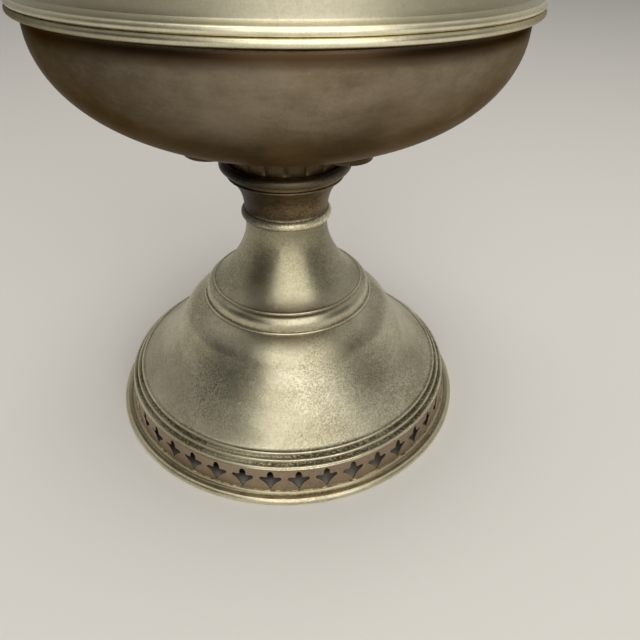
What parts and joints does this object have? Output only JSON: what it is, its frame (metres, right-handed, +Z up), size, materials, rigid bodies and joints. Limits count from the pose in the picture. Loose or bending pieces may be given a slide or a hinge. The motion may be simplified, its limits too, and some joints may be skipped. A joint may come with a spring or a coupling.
{
  "type": "centre draft kerosene lamp",
  "caption": "Table oil lamp with a pierced round foot, flared stem, round font, central air tube, ring wick on a rack and pinion, and a tall glass chimney.",
  "frame": {"origin": "on the table, under the centre of the foot", "axes": "+Z up along the lamp's axis; the wick knob points along +X and the filler cap is on the -X side"},
  "size_m": [0.1818, 0.1818, 0.5232],
  "materials": {
    "nickel": "aged satin nickel plate on brass",
    "worn_nickel": "worn brownish nickel plate on brass",
    "old_brass": "aged brass",
    "dark_steel": "dull dark sheet",
    "wick_cotton": "woven cotton, charred at the top edge",
    "cork": "cork",
    "chimney_glass": "clear glass"
  },
  "bodies": {
    "lamp_body": {"foot_flange": "nickel", "pierced_band": "worn_nickel", "foot_bell": "nickel", "base_plate": "dark_steel", "stem_neck": "nickel", "lock_nut": "old_brass", "crown_ring": "worn_nickel", "font_base_ring": "old_brass", "font_bowl": "nickel", "font_shell": "nickel", "font_collar": "nickel", "draft_tube": "old_brass", "filler_neck": "old_brass", "burner_ring": "worn_nickel", "wick_tube": "old_brass", "spindle_bush": "old_brass", "gland_nut": "old_brass"},
    "drip_cup": {"drip_cup": "old_brass"},
    "cap_gasket": {"filler_gasket": "cork"},
    "filler_cap": {"filler_cap": "nickel"},
    "wick_lift": {"wick": "wick_cotton", "wick_carrier": "old_brass", "wick_rack": "old_brass"},
    "raiser": {"pinion": "old_brass", "raiser_spindle": "dark_steel", "knob": "nickel"},
    "gallery": {"air_gallery": "worn_nickel", "chimney_holder": "old_brass", "air_cone": "old_brass"},
    "chimney": {"chimney": "chimney_glass"},
    "flame_spreader": {"flame_spreader": "old_brass", "spreader_button": "dark_steel", "spreader_rivet": "old_brass"}
  },
  "joints": [
    {"name": "wick_slide", "type": "slide", "parent": "lamp_body", "child": "wick_lift", "axis": [0, 0, 1], "range_m": [-0.012, 0.006]},
    {"name": "knob_turn", "type": "hinge", "parent": "lamp_body", "child": "raiser", "pos_m": [0.04, 0, 0.245], "axis": [1, 0, 0], "range_deg": [-172, 86]},
    {"name": "cap_turn", "type": "hinge", "parent": "cap_gasket", "child": "filler_cap", "pos_m": [-0.05945, 0, 0.23], "axis": [0, 0, 1], "range_deg": [0, 1080]},
    {"name": "cap_rise", "type": "slide", "parent": "lamp_body", "child": "cap_gasket", "axis": [0, 0, 1], "range_m": [0, 0.0061]},
    {"name": "spreader_lift", "type": "slide", "parent": "lamp_body", "child": "flame_spreader", "axis": [0, 0, 1], "range_m": [0, 0.03]},
    {"name": "gallery_lift", "type": "slide", "parent": "lamp_body", "child": "gallery", "axis": [0, 0, 1], "range_m": [0, 0.03]},
    {"name": "chimney_lift", "type": "slide", "parent": "gallery", "child": "chimney", "axis": [0, 0, 1], "range_m": [0, 0.06]},
    {"name": "cup_drop", "type": "slide", "parent": "lamp_body", "child": "drip_cup", "axis": [0, 0, -1], "range_m": [0, 0.06]}
  ],
  "couplings": [
    {"joint": "knob_turn", "follows": "wick_slide", "rad_per_m": 249.99},
    {"joint": "cap_rise", "follows": "cap_turn", "m_per_rad": 0.00031831}
  ]
}
